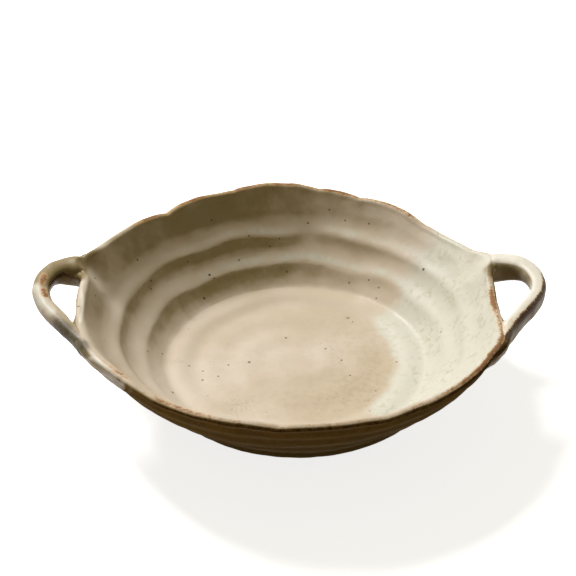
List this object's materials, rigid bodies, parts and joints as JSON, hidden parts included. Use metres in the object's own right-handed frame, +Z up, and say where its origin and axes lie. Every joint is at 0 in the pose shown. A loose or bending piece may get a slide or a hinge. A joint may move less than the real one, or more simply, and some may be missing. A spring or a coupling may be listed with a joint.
{
  "type": "salad bowl",
  "caption": "Hand-thrown glazed stoneware salad bowl with a wavy rolled lip, throwing rings inside and out, a loop handle at each end of the rim and a foot ring.",
  "frame": {"origin": "on the table, under the middle of the overall length and of the rim", "axes": "+X from the left handle to the right handle as pictured, +Y away from the viewer, +Z up"},
  "size_m": [0.3233, 0.2671, 0.0768],
  "materials": {
    "glaze": "satin celadon and oatmeal glaze with iron specks",
    "bare_clay": "unglazed fired stoneware"
  },
  "bodies": {
    "root": {"bowl_body": "glaze", "left_handle": "glaze", "right_handle": "glaze", "foot_ring": "bare_clay"}
  },
  "joints": []
}
